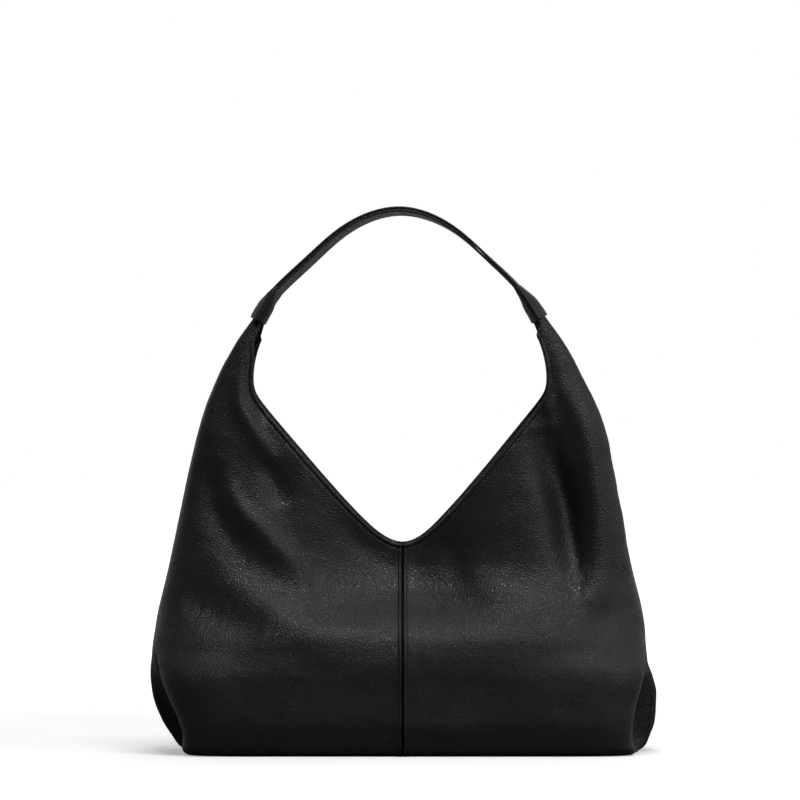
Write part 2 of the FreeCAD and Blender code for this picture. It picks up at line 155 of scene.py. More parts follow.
def section(side, facing, z):
    """Level sections of one quarter at heights z, as x and y with a last axis along the section."""
    z = z[..., None]
    share = 1 - (1 - np.linspace(0, 1, SECTION_STEPS)) ** 3
    power = SQUARENESS[facing](z)
    y = facing * depth_at(share * BODY_WIDTH, z) * (1 - share ** power) ** (1 / power)
    blend = ease(y, -30, -8)
    x = share * (FRONT_RIDGE[side](z) * (1 - blend) + REAR_RIDGE[side](z) * blend)
    rise = np.clip((z - TUCK_FOOT) / (TUCK_TOP[side] - TUCK_FOOT), 0, 1)
    swell = np.sin(math.pi * rise ** 0.8)
    beside = (y - TUCK_Y) / TUCK_HALF_WIDTH
    tuck = TUCK_DEPTH * swell * np.where(beside < 0, np.exp(-np.abs(beside) ** 3), np.exp(-beside ** 2))
    x = x - tuck * ease(share, 0.78, 0.95)
    if facing < 0:
        back = TUCK_BACK * np.exp(-((y - TUCK_Y) / TUCK_BACK_REACH) ** 2)
        forward = EAR_FORWARD * np.exp(-((y - EAR_Y) / EAR_REACH) ** 2)
        y = y + swell * (back - forward) * ease(share, 0.78, 0.95)
    under = BASE_ROUND - np.sqrt(BASE_ROUND ** 2 - np.clip(BASE_ROUND - z, 0, BASE_ROUND) ** 2)
    x = x - under * ease(share, 0.6, 0.97)
    y = y - facing * under * np.clip(np.abs(y) / 40, 0, 1)
    return side * x, y


def body(side, facing, share, z):
    """Points on the outer face at heights z, a share of the way from the centre to the side line."""
    share, z = np.broadcast_arrays(np.asarray(share, float), np.asarray(z, float))
    x, y = section(side, facing, z)
    length = np.cumsum(np.hypot(np.diff(x), np.diff(y)), -1)
    length = np.concatenate([np.zeros(length.shape[:-1] + (1,)), length], -1)
    target = share * length[..., -1]
    i = np.clip((length <= target[..., None]).sum(-1) - 1, 0, SECTION_STEPS - 2)

    def at(values, index):
        return np.take_along_axis(values, index[..., None], -1)[..., 0]

    t = (target - at(length, i)) / (at(length, i + 1) - at(length, i))
    px = at(x, i) * (1 - t) + at(x, i + 1) * t
    py = at(y, i) * (1 - t) + at(y, i + 1) * t
    return np.stack([px, py, z], -1)


def horn_lean(z):
    """How far a horn's inner edge stands nearer the middle than at its narrowest."""
    return 0.006 * (z - 298) ** 2


def neck_half_width(side, facing, z):
    """Half the width of the mouth at a height, on one side of the middle."""
    lift = NECK_LIFT_MIDDLE + NECK_LIFT[side] * ease(z, NECK_HEIGHT, NECK_HEIGHT + 30) if facing > 0 else 0.0
    run = (z - lift - NECK_HEIGHT) / NECK_SLOPE + NECK_ROUND
    straight = np.sqrt(np.maximum(run * run - NECK_ROUND ** 2, 0))
    horn = HORN_INNER - horn_lean(z)
    if (side, facing) == (-1, -1):
        horn = horn + 5.0 * ease(z, 310, 334)
    softness = 2.5
    return -softness * np.logaddexp(-straight / softness, -horn / softness)


def column_top(side, facing, share):
    """Heights at which the columns meet the neckline, or the ends of the horns."""
    low = np.full(len(share), NECK_HEIGHT)
    high = np.full(len(share), HORN_TOP)
    reach = np.abs(body(side, facing, share, high)[:, 0])
    whole = reach >= neck_half_width(side, facing, high)
    for _ in range(22):
        middle = (low + high) / 2
        outside = np.abs(body(side, facing, share, middle)[:, 0]) >= neck_half_width(side, facing, middle)
        low = np.where(outside, middle, low)
        high = np.where(outside, high, middle)
    return np.where(whole, HORN_TOP, low)


# ---------------------------------------------------------------- folds
# Each fold: height (+ ridge, - valley), reach to its left and right, then (x, z) points along it.
FRONT_FOLDS = [
    (7.0, 8, 20, [(113, 332), (125, 305), (134, 287), (144, 266), (149, 245), (153, 216), (156, 186),
                  (155, 156), (146, 112)]),
    (-15.0, 16, 11, [(117, 264), (124, 232), (133, 204), (138, 176), (143, 138)]),
    (1.6, 4, 4, [(120, 304), (119, 285), (121, 262), (122, 236)]),
    (4.2, 8, 7, [(-117, 338), (-124, 314), (-127, 296), (-126, 278), (-117, 260), (-106, 242), (-97, 224)]),
    (-5.5, 9, 10, [(-112, 318), (-113, 290), (-108, 262)]),
    (-6.0, 9, 12, [(-106, 236), (-99, 214), (-93, 196)]),
    (4.5, 12, 9, [(-142, 232), (-138, 214), (-131, 200), (-118, 185), (-101, 168), (-85, 148), (-77, 126)]),
    (-4.5, 12, 12, [(-150, 240), (-150, 208), (-138, 178), (-119, 154)]),
    (-4.5, 14, 16, [(-176, 132), (-157, 121), (-133, 108), (-108, 96)]),
    (7.0, 24, 24, [(-168, 130), (-134, 119), (-89, 101), (-40, 92), (0, 90), (45, 93), (89, 100), (132, 112),
                   (160, 120)]),
    (2.0, 12, 12, [(-150, 146), (-118, 126), (-89, 106), (-50, 92)]),
    (-2.5, 9, 9, [(-52, 190), (-34, 168), (-16, 156)]),
    (3.0, 16, 16, [(44, 146), (78, 128), (116, 112)]),
    (-2.2, 12, 12, [(30, 172), (44, 150), (52, 128)]),
    (-2.5, 14, 14, [(182, 150), (172, 118), (152, 92)]),
]
BACK_FOLDS = [
    (4.5, 9, 8, [(-114, 330), (-127, 300), (-138, 270), (-146, 236), (-150, 200), (-146, 160), (-132, 122)]),
    (-7.0, 14, 13, [(-116, 258), (-126, 222), (-132, 186), (-130, 150)]),
    (4.0, 8, 8, [(116, 334), (126, 306), (128, 280), (117, 256), (102, 232)]),
    (-5.5, 9, 11, [(110, 250), (101, 220), (92, 198)]),
    (4.0, 12, 10, [(144, 226), (132, 202), (112, 180), (90, 156), (76, 130)]),
    (-4.0, 14, 14, [(168, 138), (144, 116), (112, 100)]),
    (2.5, 16, 16, [(-48, 146), (-80, 130), (-118, 116)]),
    (-2.0, 12, 12, [(-30, 174), (-42, 152), (-50, 130)]),
]


def spline(points, count):
    """Evenly spaced points along a smooth curve through a few points."""
    p = np.array(points, float)
    knots = np.concatenate([[0], np.cumsum(np.linalg.norm(np.diff(p, axis=0), axis=1))])
    h = np.diff(knots)
    bend = np.eye(len(p))
    right = np.zeros_like(p)
    for i in range(1, len(p) - 1):
        bend[i, i - 1:i + 2] = h[i - 1], 2 * (h[i - 1] + h[i]), h[i]
        right[i] = 6 * ((p[i + 1] - p[i]) / h[i] - (p[i] - p[i - 1]) / h[i - 1])
    m = np.linalg.solve(bend, right)
    s = np.linspace(0, knots[-1], 8 * count)
    i = np.clip(np.searchsorted(knots, s, side="right") - 1, 0, len(h) - 1)
    gap = h[i, None]
    u = s[:, None] - knots[i, None]
    v = gap - u
    q = (m[i] * v ** 3 + m[i + 1] * u ** 3) / (6 * gap)
    q += (p[i] / gap - m[i] * gap / 6) * v + (p[i + 1] / gap - m[i + 1] * gap / 6) * u
    return resample(q, count)


def resample(line, count):
    length = np.concatenate([[0], np.cumsum(np.linalg.norm(np.diff(line, axis=0), axis=1))])
    places = np.linspace(0, length[-1], count)
    return np.stack([np.interp(places, length, line[:, k]) for k in range(line.shape[1])], -1)


def fold_field(folds, x, z):
    """Height of the folds over the body's face at each x and z."""
    total = np.zeros_like(x)
    for height, reach_left, reach_right, points in folds:
        path = spline(points, 40)
        gap_x = x[..., None] - path[:, 0]
        gap_z = z[..., None] - path[:, 1]
        distance = gap_x ** 2 + gap_z ** 2
        nearest = distance.argmin(-1)
        along = nearest / (len(path) - 1)
        heading = np.gradient(path, axis=0)[nearest]
        near = np.take_along_axis(gap_x, nearest[..., None], -1)[..., 0]
        near_z = np.take_along_axis(gap_z, nearest[..., None], -1)[..., 0]
        right_hand = heading[..., 1] * near - heading[..., 0] * near_z
        upward = np.where(heading[..., 1] >= 0, 1, -1)
        reach = np.where(right_hand * upward > 0, reach_right, reach_left)
        taper = np.sqrt(np.clip(np.sin(math.pi * np.clip(along, 0.02, 0.98)), 0, 1))
        total += height * taper * np.exp(-distance.min(-1) / reach ** 2)
    return total


def ripple(points, pitch, seed):
    """Smooth noise from -1 to 1 at each point. pitch gives its size along X, Y and Z."""
    flat = (points / np.array(pitch) + seed * 7.3).reshape(-1, 3)
    return np.array([noise.noise(p) for p in flat.tolist()]).reshape(points.shape[:-1])


def slouch(points, facing):
    """How far the leather stands off the plain body shape: folds, sags and small wrinkles."""
    x, y, z = points[..., 0], points[..., 1], points[..., 2]
    inward = ease(np.abs(y), 1.0, 9.0)
    total = fold_field(FRONT_FOLDS if facing < 0 else BACK_FOLDS, x, z) * inward
    broad = ripple(points, (60, 60, 50), 1) * 1.5
    middle = ripple(points, (26, 26, 18), 2) * 0.55
    fine = ripple(points, (12, 12, 7), 3) * 0.22
    horn = ease(z, 250, 320)
    gathers = ripple(points, (10, 10, 4.5), 4) * 0.32 * horn
    calm = ease(z, 2, 22) * (0.35 + 0.65 * ease(np.abs(x), 3, 16))
    total = total * ease(z, 4, 30) * (1 - 0.45 * horn)
    total = total + (broad * (1 - horn) + middle + fine) * calm + gathers
    clear = ease(np.abs(x) - HORN_INNER + horn_lean(z), 0, 11)
    return total * ease(np.abs(y), 0.0, 5.0) * (1 - (1 - clear) * ease(z, 270, 300))


# ---------------------------------------------------------------- strap and sleeves
STRAP_LINE = [(-114, 346), (-105, 361.5), (-91, 377), (-70.5, 396), (-48.5, 415.5), (-26, 428.5), (0, 434),
              (26, 428.5), (48.5, 415.5), (70.5, 396), (90, 377.5), (103, 362), (112.3, 347.5)]
STRAP_STATIONS = 241
STRAP_HALF_WIDTH = 12.0
STRAP_HALF_THICKNESS = 2.0
TWIST = curve([(0, 13), (0.2, 12.5), (0.5, 8), (0.72, -1), (0.9, -5), (1, -6)])   # degrees
SLEEVE_WALL = 1.4
SLEEVE = {   # by distance up from the mouth: half thickness, half width, roundness, shift of the near ridge
    -1: [curve([(0, 7.3), (13, 7.0), (21, 4.9), (27, 2.7), (32, 1.5)]),
         curve([(0, 13.3), (15, 13.0), (27, 12.3), (32, 11.2)]),
         curve([(0, 1.55), (14, 1.6), (22, 2.6), (28, 5)]),
         curve([(0, -2.3), (14, -2.1), (27, 0), (32, 0)])],
    1: [curve([(0, 7.4), (14, 6.6), (24, 4.3), (31, 2.6), (36, 1.5)]),
        curve([(0, 13.3), (15, 13.0), (30, 12.3), (36, 11.2)]),
        curve([(0, 1.5), (14, 1.55), (24, 2.4), (31, 5)]),
        curve([(0, 0.3), (14, 0.3), (30, 0), (36, 0)])],
}
SLEEVE_LENGTH = {-1: 32.0, 1: 36.0}
HIDDEN_IN_SLEEVE = 21.0    # how far above a sleeve's mouth the strap's plies begin


class Route:
    """The strap's middle line, with the frame in which its sections are drawn."""

    def __init__(self):
        line = spline(STRAP_LINE, STRAP_STATIONS)
        heading = unit(np.gradient(line, axis=0))
        self.centre = np.stack([line[:, 0], 0 * line[:, 0], line[:, 1]], -1)
        self.tangent = np.stack([heading[:, 0], 0 * line[:, 0], heading[:, 1]], -1)
        outward = np.stack([-heading[:, 1], 0 * line[:, 0], heading[:, 0]], -1)
        turn = np.radians(TWIST(np.linspace(0, 1, STRAP_STATIONS)))[:, None]
        level = np.array([0.0, 1.0, 0.0])
        self.out = outward * np.cos(turn) + level * np.sin(turn)
        self.wide = level * np.cos(turn) - outward * np.sin(turn)
        steps = np.linalg.norm(np.diff(self.centre, axis=0), axis=1)
        self.along = np.concatenate([[0], np.cumsum(steps)])

    def frame(self, side, distance):
        """Centre, out and wide vectors at distances from the mouth of one side's sleeve."""
        distance = np.asarray(distance, float)
        place = distance if side < 0 else self.along[-1] - distance
        found = [np.stack([np.interp(place, self.along, v[:, k]) for k in range(3)], -1)
                 for v in (self.centre, self.out, self.wide, self.tangent)]
        beyond = np.minimum(distance, 0)[..., None] * (1 if side < 0 else -1)
        return found[0] + found[3] * beyond, unit(found[1]), unit(found[2])


def into_sleeve(points, side):
    """Gathers the top of a horn so that it goes up inside its sleeve."""
    near = points[..., 2] > GATHER_Z
    if not near.any():
        return points
    p = points[near]
    places = np.linspace(-24, 22, 93)
    centres = route.frame(side, places)[0]
    gap = ((p[:, None, [0, 2]] - centres[None, :, [0, 2]]) ** 2).sum(-1)
    distance = places[gap.argmin(-1)]
    centre, out, wide = route.frame(side, distance)
    inside = np.maximum(distance, 0)
    half, width, power, ridge = (f(inside) for f in SLEEVE[side])
    half, width = half - SLEEVE_WALL - 0.2, width - SLEEVE_WALL - 0.2
    rest = p - centre
    u, v = (rest * out).sum(-1), (rest * wide).sum(-1)
    lean = -ridge * v / width
    size = (np.abs((u - lean) / half) ** power + np.abs(v / width) ** power) ** (1 / power)
    room = 0.97 + 1.6 * ease(-distance, 0, 19)
    softness = 0.05
    wanted = -softness * np.logaddexp(-size / softness, -room / softness)
    scale = wanted / np.maximum(size, 1e-6)
    strength = ease(p[:, 2], GATHER_Z, 328)
    scale = 1 + (scale - 1) * strength
    moved = centre + out * (lean * scale + (u - lean) * scale)[:, None] + wide * (v * scale)[:, None]
    moved += rest - out * u[:, None] - wide * v[:, None]
    result = points.copy()
    result[near] = moved
    return result


def ply_loop(low, high, half_width):
    """The outline of one ply of the strap, as out and wide values, with a groove by each edge."""
    half = np.array([0.3, 0.6, 0.755, 0.79, 0.82, 0.85, 0.885, 0.94])
    face = np.concatenate([-half[::-1], [0], half])
    dip = 0.28 * np.exp(-(((np.abs(face) - 0.82) / 0.022) ** 2))
    crown = 0.25 * (1 - face ** 2)
    outer = high + math.copysign(1, high) * (crown - dip)
    turn = np.linspace(0.15, 0.85, 5) * math.pi / 2
    reach = 0.06 * half_width
    rise = (high - low) / 2
    right = [(low + rise + rise * math.cos(t), half_width - reach + reach * math.sin(t)) for t in turn]
    right += [(low + rise - rise * math.sin(t), half_width - reach + reach * math.cos(t)) for t in turn]
    left = [(a, -b) for a, b in reversed(right)]
    bottom = [(low, b * half_width) for b in (0.9, 0.45, 0, -0.45, -0.9)]
    return np.array(list(zip(outer, face * half_width)) + right + bottom + left)


def build_strap(material, thread):
    """The strap's two plies, and its stitches, above the sleeves."""
    ends = np.searchsorted(route.along, [HIDDEN_IN_SLEEVE, route.along[-1] - HIDDEN_IN_SLEEVE])
    inside = slice(int(ends[0]), int(ends[1]))
    centre, out, wide = route.centre[inside], route.out[inside], route.wide[inside]
    pieces = []
    for word, low, high, half in (("outer", 0.1, STRAP_HALF_THICKNESS, STRAP_HALF_WIDTH),
                                  ("inner", -0.1, -STRAP_HALF_THICKNESS + 0.1, STRAP_HALF_WIDTH - 0.35)):
        loop = ply_loop(low, high, half)
        rings = centre[:, None] + out[:, None] * loop[None, :, :1] + wide[:, None] * loop[None, :, 1:]
        pieces.append(tube(f"strap_{word}_leather", rings, material))
    rows = []
    visible = slice(12, -12)
    for level in (STRAP_HALF_THICKNESS - 0.12, -STRAP_HALF_THICKNESS + 0.22):
        for edge in (-0.82, 0.82):
            line = centre + out * level + wide * edge * STRAP_HALF_WIDTH
            rows.append((line[visible], (out * math.copysign(1, level))[visible]))
    pieces.append(stitches("strap_stitches", rows, thread))
    return pieces


def build_sleeve(side, material):
    """A tapered sleeve around the end of the strap and the top of a horn, with an open mouth."""
    length = SLEEVE_LENGTH[side]
    around = 64
    turn = np.linspace(0, 2 * math.pi, around, endpoint=False)
    stations = [(d, SLEEVE_WALL) for d in np.linspace(18, 0.5, 12)]
    stations += [(0.05, 0.95), (-0.25, 0.7), (0.05, 0.3), (0.5, 0.05)]
    stations += [(d, 0.0) for d in np.linspace(1.2, length, 44)]
    rings = []
    for distance, wall in stations:
        centre, out, wide = route.frame(side, distance)
        half, width, power, ridge = (float(f(max(distance, 0))) for f in SLEEVE[side])
        c, s = np.cos(turn), np.sin(turn)
        u = (half - wall) * np.sign(c) * np.abs(c) ** (2 / power)
        v = (width - wall) * np.sign(s) * np.abs(s) ** (2 / power)
        u = u - ridge * v / width
        ring = centre + out * u[:, None] + wide * v[:, None]
        wave = ripple(ring, (14, 14, 9), 11) * 0.35 * (1 - ease(distance, 18, 28))
        ring = ring + unit(ring - centre) * wave[:, None]
        rings.append(ring)
    word = "left" if side < 0 else "right"
    return tube(f"{word}_sleeve", np.array(rings), material)


# ---------------------------------------------------------------- sewn panels
SEAM_STEPS = [0, 0.35, 0.7, 1.1, 1.6, 2.2, 2.8, 3.2, 3.6, 4.1, 4.8, 5.8, 7.2, 9.0, 11.5, 14.5]
SEAM_COLUMNS = np.array(SEAM_STEPS) / 215.0
STITCH_OFFSET = 3.6
LOW_ROWS = np.array([0, 0.35, 1.0, 2.0, 3.3, 5.0, 7.0, 9.5, 12.5])
HIGH_ROWS = np.array([7.5, 5.6, 4.4, 3.6, 3.0, 2.4, 1.8, 1.2, 0.6, 0.0])


def column_shares():
    middle = np.linspace(SEAM_COLUMNS[-1], 0.60, 40)[1:]
    outer = np.linspace(0.60, 0.78, 26)[1:]
    horn = np.linspace(0.78, 0.90, 36)[1:]
    side = np.linspace(0.90, 0.985, 16)[1:]
    edge = np.array([0.9895, 0.9935, 0.9965, 0.9985, 1.0])
    return np.concatenate([SEAM_COLUMNS, middle, outer, horn, side, edge])


def column_heights(tops):
    """Heights of a grid's rows: dense near the base and near the top edge."""
    low, high = LOW_ROWS[-1], tops[:, None] - HIGH_ROWS[0]
    middle = low + (high - low) * np.linspace(0, 1, 108)[1:-1]
    return np.concatenate([np.repeat(LOW_ROWS[None], len(tops), 0), middle, tops[:, None] - HIGH_ROWS], 1)


def face_normals(points, side, facing):
    """Outward normals of a grid whose first axis is the column and second the row."""
    across = np.gradient(points, axis=0)
    along = np.gradient(points, axis=1)
    normals = unit(np.cross(across, along)) * (-side * facing)
    normals[0, :, 0] = 0
    return unit(normals)


def seam_profile(distance):
    """The sewn seam: a groove, a raised turned edge beside it, and the line that its stitches pull in."""
    groove = -1.5 * np.exp(-((distance / 0.75) ** 2))
    pad = 0.95 * ease(distance, 0.2, 1.2) * (1 - ease(distance, 2.9, 3.9))
    pad = pad + 0.35 * (1 - ease(distance, 3.9, 8))
    stitched = -0.5 * np.exp(-(((distance - STITCH_OFFSET) / 0.5) ** 2))
    return groove + pad + stitched


def edge_bead(distance):
    """The neckline's turned edge: a thin raised bead with a groove under it."""
    return 0.45 * (1 - ease(distance, 1.0, 1.9)) - 0.55 * np.exp(-(((distance - 2.3) / 0.6) ** 2))


def finish_edges(points):
    """Keeps the seams' edges on their planes and the bag on the floor, and moves the middle over."""
    points[0, :, 0] = 0
    points[-1, :, 1] = 0
    points[..., 2] = np.maximum(points[..., 2], 0)
    move = SEAM_SHIFT * np.clip(1 - (points[..., 0] / 130) ** 2, 0, 1) ** 2
    points[..., 0] += move * (1 - ease(points[..., 2], 290, 310))


class Panel:
    """One panel's outer face: its grid of points with seams, and a plainer one for what lies inside."""

    def __init__(self, side, facing):
        self.side, self.facing = side, facing
        self.shares = column_shares()
        self.heights = column_heights(column_top(side, facing, self.shares))
        points = body(side, facing, self.shares[:, None], self.heights)
        normals = face_normals(points, side, facing)
        folded = points + normals * slouch(points, facing)[..., None]
        folded[0, :, 0] = 0
        folded[-1, :, 1] = 0
        folded = into_sleeve(folded, side)
        normals = face_normals(folded, side, facing)
        self.plain = folded.copy()
        finish_edges(self.plain)
        self.plain_normals = normals
        steps = np.linalg.norm(np.diff(folded, axis=0), axis=-1)
        from_centre = np.concatenate([np.zeros((1, folded.shape[1])), np.cumsum(steps, 0)], 0)
        from_side = from_centre[-1:] - from_centre
        from_edge = np.full(folded.shape[:2], 1e6)
        for place in resample(folded[:, -1], 600):
            from_edge = np.minimum(from_edge, ((folded - place) ** 2).sum(-1))
        from_edge = np.sqrt(from_edge)
        offset = seam_profile(from_centre)
        offset = offset + edge_bead(from_edge) * (1 - ease(folded[..., 2], GATHER_Z, 334))
        self.points = folded + normals * offset[..., None]
        height = folded[..., 2]
        sunk = 0.6 * seam_profile(from_side) * (1 - ease(height, 300, 330)) * ease(height, 0, 4)
        self.points[..., 0] += side * sunk
        finish_edges(self.points)
        self.normals = face_normals(self.points, side, facing)

    def at(self, reach, bottom, top, rows, step=2):
        """The plain face resampled between two heights, given from each column's top, out to a share."""
        chosen = [c for c in range(0, len(self.shares), step) if self.shares[c] <= reach]
        if reach >= 1 and chosen[-1] != len(self.shares) - 1:
            chosen.append(len(self.shares) - 1)
        grids = []
        for source in (self.plain, self.plain_normals):
            grid = np.zeros((len(chosen), rows, 3))
            for row, c in enumerate(chosen):
                limit = self.heights[c, -1]
                heights = np.linspace(bottom(limit), top(limit), rows)
                for k in range(3):
                    grid[row, :, k] = np.interp(heights, self.heights[c], source[c, :, k])
            grids.append(grid)
        return grids


def grid_faces(columns, rows, start=0, flip=False):
    faces = []
    for c in range(columns - 1):
        for r in range(rows - 1):
            a = start + c * rows + r
            quad = (a, a + rows, a + rows + 1, a + 1)
            faces.append(quad[::-1] if flip else quad)
    return faces


def add_mesh(name, points, faces, material, closed=True):
    mesh = bpy.data.meshes.new(name)
    mesh.from_pydata((np.asarray(points) * MM).tolist(), [], faces)
    if closed:
        shape = bmesh.new()
        shape.from_mesh(mesh)
        bmesh.ops.remove_doubles(shape, verts=shape.verts, dist=0.005 * MM)
        bmesh.ops.recalc_face_normals(shape, faces=shape.faces)
        shape.to_mesh(mesh)
        shape.free()
    mesh.validate()
    mesh.polygons.foreach_set("use_smooth", [True] * len(mesh.polygons))
    mesh.materials.append(material)
    piece = bpy.data.objects.new(name, mesh)
    bpy.context.scene.collection.objects.link(piece)
    return piece


def slab(name, near, far, material):
    """A closed sheet between two grids of points."""
    columns, rows = near.shape[:2]
    count = columns * rows
    faces = grid_faces(columns, rows) + grid_faces(columns, rows, count, True)
    border = [(c, 0) for c in range(columns)] + [(columns - 1, r) for r in range(1, rows)]
    border += [(c, rows - 1) for c in reversed(range(columns - 1))]
    border += [(0, r) for r in reversed(range(1, rows - 1))]
    ids = [c * rows + r for c, r in border]
    for a, b in zip(ids, ids[1:] + ids[:1]):
        faces.append((a, b, b + count, a + count))
    points = np.concatenate([near.reshape(-1, 3), far.reshape(-1, 3)])
    return add_mesh(name, points, faces, material)


def ring_faces(rings, around, start=0, step=None):
    """Quads between neighbouring closed rings of points, which lie a step apart in the list."""
    step = around if step is None else step
    faces = []
    for i in range(rings - 1):
        for k in range(around):
            a, b = start + i * step + k, start + i * step + (k + 1) % around
            faces.append((a, b, b + step, a + step))
    return faces


def tube(name, rings, material):
    """A closed tube through rings of points, with both ends filled."""
    count, around = rings.shape[:2]
    faces = ring_faces(count, around)
    faces.append(tuple(range(around)))
    faces.append(tuple(range((count - 1) * around, count * around)))
    return add_mesh(name, rings.reshape(-1, 3), faces, material)


def bead_shape():
    """Rings of one stitch: how far along it, its radius, and how deep it sinks, as shares."""
    return [(-1.0, 0.35, 1.1), (-0.82, 0.85, 0.45), (-0.4, 1.0, 0.05), (0.4, 1.0, 0.05), (0.82, 0.85, 0.45),
            (1.0, 0.35, 1.1)]


def stitches(name, rows, material, pitch=3.3, length=2.3, radius=0.27):
    """Rows of thread stitches. Each row is a line of points and the outward normals there."""
    points, faces = [], []
    around = 8
    for line, normals in rows:
        total = np.linalg.norm(np.diff(line, axis=0), axis=1).sum()
        count = max(int(total / pitch), 2)
        middles = resample(line, 2 * count + 1)
        steps = np.concatenate([[0], np.cumsum(np.linalg.norm(np.diff(line, axis=0), axis=1))])
        places = np.linspace(0, steps[-1], 2 * count + 1)
        ups = unit(np.stack([np.interp(places, steps, normals[:, k]) for k in range(3)], -1))
        for i in range(1, 2 * count, 2):
            along = unit(middles[i + 1] - middles[i - 1])
            up = ups[i]
            across = np.cross(along, up)
            first = len(points)
            for share, size, sink in bead_shape():
                centre = middles[i] + along * share * length / 2 - up * sink * radius
                for k in range(around):
                    turn = 2 * math.pi * k / around
                    points.append(centre + (across * math.cos(turn) + up * math.sin(turn)) * radius * size)
            rings = len(bead_shape())
            faces += ring_faces(rings, around, first)
            faces.append(tuple(range(first + around - 1, first - 1, -1)))
            faces.append(tuple(range(first + (rings - 1) * around, first + rings * around)))
    return add_mesh(name, np.array(points), faces, material)


def rolled_panel(points, normals, side, thickness=LEATHER):
    """Wraps a panel's outer face over its top edge and down again inside, as columns of one grid."""
    edge = np.gradient(points[:, -1], axis=0)
    top_normal = normals[:, -1]
    outward = unit(np.cross(edge, top_normal))
    outward *= np.sign(outward @ np.array([-side, 0.0, 1.2]))[:, None]
    radius = thickness / 2
    turns = []
    for angle in np.radians([25, 50, 75, 105, 130, 155]):
        drop = top_normal * radius * (1 - math.cos(angle))
        turns.append(points[:, -1] + outward * radius * math.sin(angle) - drop)
    inner = points - normals * thickness
    inner[0, :, 0] = points[0, :, 0]
    inner[-1, :, 1] = 0
    inner[..., 2] = np.maximum(inner[..., 2], np.minimum(points[..., 2], 0.6))
    return np.concatenate([points, np.stack(turns, 1), inner[:, ::-1]], 1)


def build_panel(name, panel, material):
    """The leather of one panel, turned over at its top edge."""
    shell = rolled_panel(panel.points, panel.normals, panel.side)
    columns, rows = shell.shape[:2]
    faces = grid_faces(columns, rows)
    for c in range(columns - 1):
        a = c * rows
        faces.append((a, a + rows - 1, a + 2 * rows - 1, a + rows))
    for first in (0, (columns - 1) * rows):
        for r in range(rows // 2 - 1):
            faces.append((first + r, first + r + 1, first + rows - 2 - r, first + rows - 1 - r))
    return add_mesh(name, shell.reshape(-1, 3), faces, material)


def match_edges(one, other, column, spread=18):
    """Brings two panels' edges to the same line, and eases the change over the columns beside it."""
    for name in ("points", "plain"):
        a, b = getattr(one, name), getattr(other, name)
        gap = (b[column] - a[column]) / 2
        for step in range(spread):
            c = step if column == 0 else -1 - step
            fade = 1 - ease(step / spread, 0, 1)
            a[c] += gap * fade
            b[c] -= gap * fade
    for panel in (one, other):
        panel.normals = face_normals(panel.points, panel.side, panel.facing)


# ---------------------------------------------------------------- materials
class Nodes:
    """Short names for adding and joining shader nodes."""

    def __init__(self, name):
        self.material = bpy.data.materials.new(name)
        self.material.use_nodes = True
        self.tree = self.material.node_tree
        self.shader = self.tree.nodes["Principled BSDF"]

    def add(self, kind, inputs=None, **settings):
        node = self.tree.nodes.new("ShaderNode" + kind)
        for key, value in settings.items():
            setattr(node, key, value)
        for key, value in (inputs or {}).items():
            self.put(node, key, value)
        return node

    def put(self, node, key, value):
        if isinstance(value, bpy.types.NodeSocket):
            self.tree.links.new(value, node.inputs[key])
        else:
            node.inputs[key].default_value = value

    def shade(self, **inputs):
        for key, value in inputs.items():
            self.put(self.shader, key.replace("_", " "), value)

    def maths(self, operation, a, b=0.0):
        return self.add("Math", {0: a, 1: b}, operation=operation).outputs[0]

    def ramp(self, value, stops):
        node = self.add("ValToRGB", {"Fac": value})
        elements = node.color_ramp.elements
        while len(elements) < len(stops):
            elements.new(0.5)
        for element, (place, level) in zip(elements, stops):
            element.position = place
            element.color = (level, level, level, 1) if np.isscalar(level) else (*level, 1)
        return node.outputs["Color"]


